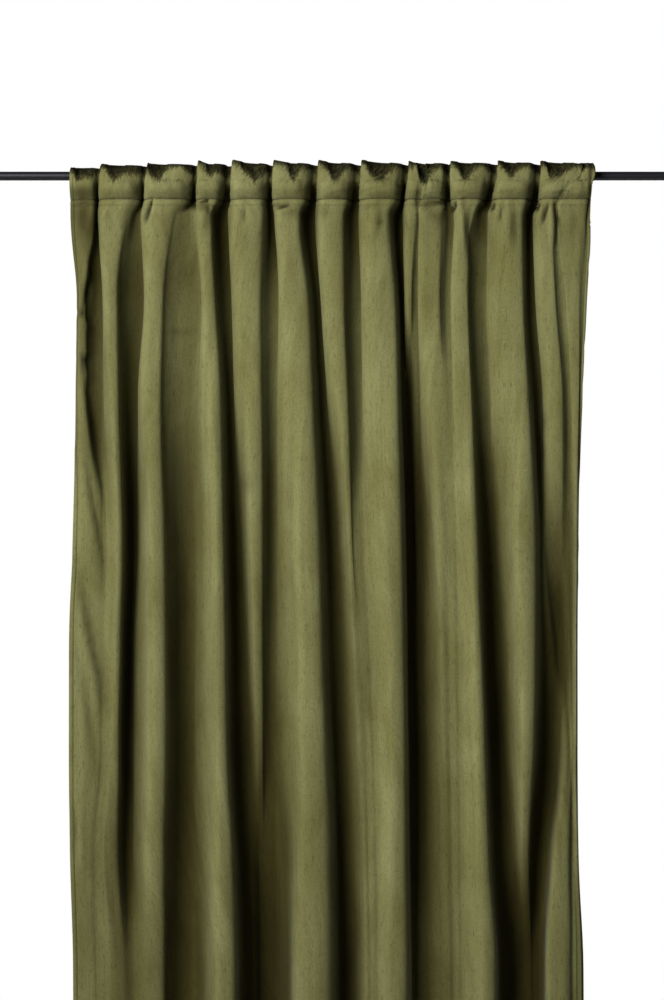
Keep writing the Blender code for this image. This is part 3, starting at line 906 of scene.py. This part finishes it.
    def seams(self, across: Array, height: Array) -> tuple[tuple[Seam, Array], ...]:
        """Give each seam and how far every point is from it.

        Args:
            across: How far each point is from the panel's left edge, along the cloth.
            height: The points' heights.

        Returns:
            Pairs of a seam and the points' distances from it.
        """
        from_side = np.minimum(across, across[:, -1:] - across)
        return (
            (self.stitch_seam, height - self.stitch),
            (self.turned_seam, height - self.turned_edge),
            (self.hem_seam, height - self.bottom_hem_top),
            (self.side_seam, from_side - self.side_hem_width),
        )

    def grooves(self, across: Array, height: Array) -> Array:
        """Give the lift of the shallow grooves that the seams pull into the cloth, none or negative."""
        return -sum(seam.groove * bell(off, seam.groove_width) for seam, off in self.seams(across, height))

    def pressed(self, across: Array, height: Array) -> Array:
        """Give how hard the pile is pressed flat, 1 in a row of stitches and 0 away from it."""
        rows = [seam.pressed * bell(off, seam.pressed_width) for seam, off in self.seams(across, height)]
        return np.maximum.reduce(rows)

    def painted_hollow_shade(self, grid: Array, wrong_side: bool = False) -> Array:
        """Give the painted shade of each point: more the deeper it lies between the crests beside it, with
        painted shade under the pocket's belly and in patches on the face side.

        Args:
            grid: Rows of the cloth's points.
            wrong_side: Whether the cloth is looked at from behind.

        Returns:
            Shares, from 0 on a crest to 1 in the deepest hollow.
        """
        across, height = grid[..., 0], grid[..., 2]
        depth = -grid[..., 1] if wrong_side else grid[..., 1]
        reach = 2 * sum(self.corner_steps)
        padded = np.pad(depth, ((0, 0), (reach, reach)), mode="edge")
        crests = np.lib.stride_tricks.sliding_window_view(padded, 2 * reach + 1, axis=1).min(-1)
        high = ramp(height, *self.shade_heights)
        full_shade = self.full_shade + (self.full_shade_high - self.full_shade) * high
        between = ramp((depth - crests - self.lit_depth) / full_shade)
        if wrong_side:
            return between
        # On the face side, painted shade in patches and under the pocket's belly joins it
        laid = np.zeros_like(depth)
        for x, z, width, tall, share in self.shade_patches:
            away = ((across / MM - x) / width) ** 2 + ((height / MM - z) / tall) ** 2
            laid = np.maximum(laid, share * np.exp(-away))
        above = height - self.stitch
        under_belly = self.belly_shade * bell(above - self.belly_shade_up, self.belly_shade_height)
        under_belly *= above > 0
        return np.clip(np.maximum(between, under_belly) + laid, 0.0, 1.0)

    def dipped(self, across: Array, height: Array) -> Array:
        """Give how far each point stands above the line where the scallops turn back over the rod."""
        line = np.array(self.dip_line) * MM
        return height - np.interp(across, line[:, 0], line[:, 1])

    def shade_over_rod(self, grid: Array, normal: Array) -> Array:
        """Give how much painted shade each point over the rod gets, above the dip line and where it faces up.
        """
        above = ramp(self.dipped(grid[..., 0], grid[..., 2]), *self.darkens)
        facing_up = ramp(normal[..., 2], *self.facing_up) * ramp(grid[..., 2], *self.facing_heights)
        return np.maximum(above * (grid[..., 2] > self.stitch), self.facing_share * facing_up)

    def slack(self, across: Array, height: Array) -> Array:
        """Give the faint unevenness of hanging velvet, deeper where the stitching gathers it."""
        near = bell(height + 0.060, 0.050)
        fine = np.sin(across * 210 + 1.3 * np.sin(height * 38)) * np.sin(across * 57 + height * 21 + 0.7)
        broad = np.sin(across * 83 + height * 9 + 1.9 * np.sin(height * 5.3))
        broad *= np.sin(height * 14 + across * 6)
        return self.fine_slack * near * fine + self.broad_slack * broad

    def surface(self) -> tuple[Array, ...]:
        """Shape the middle of the cloth, with its creases.

        Returns:
            Rows of points, the cloth's own coordinates in metres, its thickness, how much further back its
            wrong side lies so that no crease cuts through it, and how much painted shade its creases get.
        """
        corners, front_rows = self.corner_rows()
        grid = self.rounded(corners)
        # The wrong side takes every second row, the first and the last among them
        if len(grid) % 2 == 0:
            grid = np.delete(grid, 3, axis=0)
            front_rows -= 1
        front_rows += 2 + self.pocket_rows + self.roof_rows // 2
        on_front = (np.arange(len(grid)) < front_rows)[:, None]
        grid[..., 1] = self.crushed(grid, on_front)
        normal = self.normals(grid)
        along = np.linalg.norm(np.diff(grid, axis=1), axis=-1)
        across = np.concatenate([np.zeros((len(grid), 1)), np.cumsum(along, 1)], 1)
        lift = self.grooves(across, grid[..., 2]) + self.slack(across, grid[..., 2])
        crease_shade = np.zeros(grid.shape[:2])
        for crease in self.creases:
            raised = crease.lift(grid[..., 0], grid[..., 2])
            lift += raised
            crease_shade = np.maximum(crease_shade, -raised / (crease.height * MM) * crease.sharpness())
        lift *= on_front
        grid = grid + normal * lift[..., None]
        around = np.lib.stride_tricks.sliding_window_view(np.pad(lift, 2, mode="edge"), (5, 5))
        backed = np.minimum(lift - around.min((-2, -1)), self.most_backed)

        up = np.linalg.norm(np.diff(grid, axis=0), axis=-1).mean(1)
        climbed = np.concatenate([[0.0], np.cumsum(up)])[:, None]
        laid = across / across[:, -1:] * self.flat_width
        cloth = placed(laid, climbed)

        thickness = np.full(grid.shape[:2], self.thickness)
        from_side = np.minimum(across, across[:, -1:] - across)
        thickness[from_side < self.side_hem_width] = self.side_hem_thickness
        thickness[grid[..., 2] < self.bottom_hem_top] = self.bottom_hem_thickness
        return grid, cloth, thickness, backed, crease_shade * on_front

    def build(self) -> bpy.types.Object:
        """Make the panel as one closed sheet, its face side fine and its wrong side half as fine.

        Returns:
            The panel.
        """
        grid, cloth, thickness, backed, crease_shade = self.surface()
        normal = self.normals(grid)
        outer = grid + normal * thickness[..., None] / 2
        inner = (grid - normal * (thickness / 2 + backed)[..., None])[::2, ::2]
        points = np.concatenate([outer.reshape(-1, 3), inner.reshape(-1, 3)])
        places = np.concatenate([cloth.reshape(-1, 2), cloth[::2, ::2].reshape(-1, 2)])

        numbers = np.arange(len(points))
        front = numbers[: normal[..., 0].size].reshape(outer.shape[:2])
        back = numbers[front.size :].reshape(inner.shape[:2])
        faces = facets(front[:-1, :-1], front[:-1, 1:], front[1:, 1:], front[1:, :-1])
        faces += facets(back[1:, :-1], back[1:, 1:], back[:-1, 1:], back[:-1, :-1])
        # The four edges, where two steps of the face side meet one of the wrong side
        for near, far in ((front[:, 0], back[:, 0]), (front[-1], back[-1])):
            faces += facets(near[:-1:2], near[1::2], near[2::2], far[1:], far[:-1])
        for near, far in ((front[:, -1], back[:, -1]), (front[0], back[0])):
            faces += facets(near[2::2], near[1::2], near[:-1:2], far[:-1], far[1:])

        mesh = bpy.data.meshes.new("velvet_panel")
        mesh.from_pydata(points.tolist(), [], faces)
        mesh.polygons.foreach_set("use_smooth", [True] * len(mesh.polygons))
        layer = mesh.uv_layers.new(name="cloth")
        corner_points = np.empty(len(mesh.loops), np.int32)
        mesh.loops.foreach_get("vertex_index", corner_points)
        layer.data.foreach_set("uv", places[corner_points].ravel())
        pressed = self.pressed(cloth[..., 0], grid[..., 2])
        # Painted shade over the rod, on both sides of the cloth
        roof_shade = self.shade_over_rod(grid, normal)
        self.mark(mesh, "roof_shade", roof_shade, roof_shade)
        # Painted shade in the crease troughs, joined to the pressed pile of the seams
        painted_crease_shade = self.crease_shade_darkest * ramp(crease_shade, 0.0, self.crease_shade_full)
        self.mark(mesh, "seam", np.maximum(pressed, painted_crease_shade), pressed)
        # Painted shade in the hollows
        self.mark(mesh, "painted_hollow_shade", self.painted_hollow_shade(grid), self.painted_hollow_shade(grid, wrong_side=True))
        panel = bpy.data.objects.new("velvet_panel", mesh)
        bpy.context.scene.collection.objects.link(panel)
        return panel

    def mark(self, mesh: bpy.types.Mesh, name: str, face_side: Array, wrong_side: Array) -> None:
        """Store a share for each point of the cloth, for its finish to read.

        Args:
            mesh: The panel's mesh.
            name: What the finish calls the shares.
            face_side: Rows of shares for the face side.
            wrong_side: Rows of shares for the wrong side, which takes every second one.
        """
        layer = mesh.attributes.new(name, "FLOAT", "POINT")
        both = np.concatenate([face_side.ravel(), wrong_side[::2, ::2].ravel()])
        layer.data.foreach_set("value", both.astype(np.float32))

    def dress(self, panel: bpy.types.Object, velvet: bpy.types.Material) -> None:
        """Finish the panel in velvet and say how it is held.

        Args:
            panel: The panel.
            velvet: Its cloth.
        """
        panel.data.materials.append(velvet)
        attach(panel, "root")
        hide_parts("curtain_panel")


@dataclass
class CurtainRod:
    """The slim rod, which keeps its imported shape."""

    node: str = "rod"

    def dress(self, paint: bpy.types.Material) -> None:
        """Paint the rod.

        Args:
            paint: The rod's finish.
        """
        rod = bpy.data.objects[self.node]
        rod.data.materials.clear()
        rod.data.materials.append(paint)


@dataclass(frozen=True)
class SoftLight:
    """A square soft light: place, aim and side in metres, power in watts and spread in degrees."""

    name: str
    place: Place
    aim: Place
    size: float
    watts: float
    spread: float

    def hang(self) -> None:
        """Hang the light and turn it to what it faces."""
        bpy.ops.object.light_add(type="AREA", location=self.place)
        light = bpy.context.object
        light.name = self.name
        light.data.shape = "SQUARE"
        light.data.size = self.size
        light.data.energy = self.watts
        light.data.spread = math.radians(self.spread)
        facing = Vector(self.aim) - Vector(self.place)
        light.rotation_euler = facing.to_track_quat("-Z", "Y").to_euler()


@dataclass
class Studio:
    """The pale floor, the soft lights and the camera."""

    floor_height: float = -2.560
    floor_size: float = 8.0
    camera_distance: float = 5.0
    camera_height: float = -0.583
    frame_height: float = 1.800
    sensor: float = 36.0
    # Light from the surroundings, which the camera sees as white
    surroundings: float = 0.03
    lights: tuple[SoftLight, ...] = (
        SoftLight("key", (-3.0, -3.9, 1.0), (0.12, 0.0, -0.14), 3.0, 94.0, 74.0),
        SoftLight("fill", (2.4, -4.2, 0.2), (0.0, 0.0, -0.4), 2.6, 2.0, 180.0),
        SoftLight("back", (1.6, 4.4, -0.4), (0.0, 0.0, -1.2), 3.0, 60.0, 120.0),
    )

    def lay_floor(self) -> None:
        """Lay a plain pale floor under the curtain."""
        bpy.ops.mesh.primitive_plane_add(size=self.floor_size, location=(0, 0, self.floor_height))
        floor = bpy.context.object
        floor.name = "floor"
        floor.data.materials.append(PaleFloorPaint().make())

    def light_up(self) -> None:
        """Hang the lights and set the pale surroundings."""
        for light in self.lights:
            light.hang()
        world = bpy.data.worlds.new("pale_studio")
        bpy.context.scene.world = world
        world.use_nodes = True
        tree = world.node_tree
        soft = tree.nodes["Background"]
        soft.inputs["Color"].default_value = WHITE
        soft.inputs["Strength"].default_value = self.surroundings
        seen = add_node(tree, "ShaderNodeBackground", {"Color": WHITE, "Strength": 1.0})
        path = add_node(tree, "ShaderNodeLightPath", {})
        ends = {1: soft.outputs["Background"], 2: seen.outputs["Background"]}
        mix = add_node(tree, "ShaderNodeMixShader", {0: path.outputs["Is Camera Ray"], **ends})
        tree.links.new(mix.outputs["Shader"], tree.nodes["World Output"].inputs["Surface"])

    def set_camera(self) -> None:
        """Stand the camera level and straight on, at the height of the picture's middle."""
        place = (0.0, -self.camera_distance, self.camera_height)
        bpy.ops.object.camera_add(location=place, rotation=(math.pi / 2, 0.0, 0.0))
        camera = bpy.context.object
        camera.data.sensor_fit = "VERTICAL"
        camera.data.sensor_height = self.sensor
        camera.data.lens = self.sensor * self.camera_distance / self.frame_height
        scene = bpy.context.scene
        scene.camera = camera
        scene.view_settings.view_transform = "Standard"
        scene.view_settings.look = "None"

    def build(self) -> None:
        """Set up the whole studio."""
        self.lay_floor()
        self.light_up()
        self.set_camera()


def main() -> None:
    """Build the curtain in order and report each piece."""
    logging.basicConfig(level=logging.INFO, format="%(message)s")
    bpy.ops.object.select_all(action="DESELECT")
    Studio().build()
    panel = CurtainPanel()
    cloth = panel.build()
    panel.dress(cloth, CottonVelvet().make())
    LOG.info("%s: %d faces", cloth.name, len(cloth.data.polygons))
    CurtainRod().dress(SatinBlackPaint().make())
    LOG.info("rod painted")


if __name__ == "__main__":
    main()
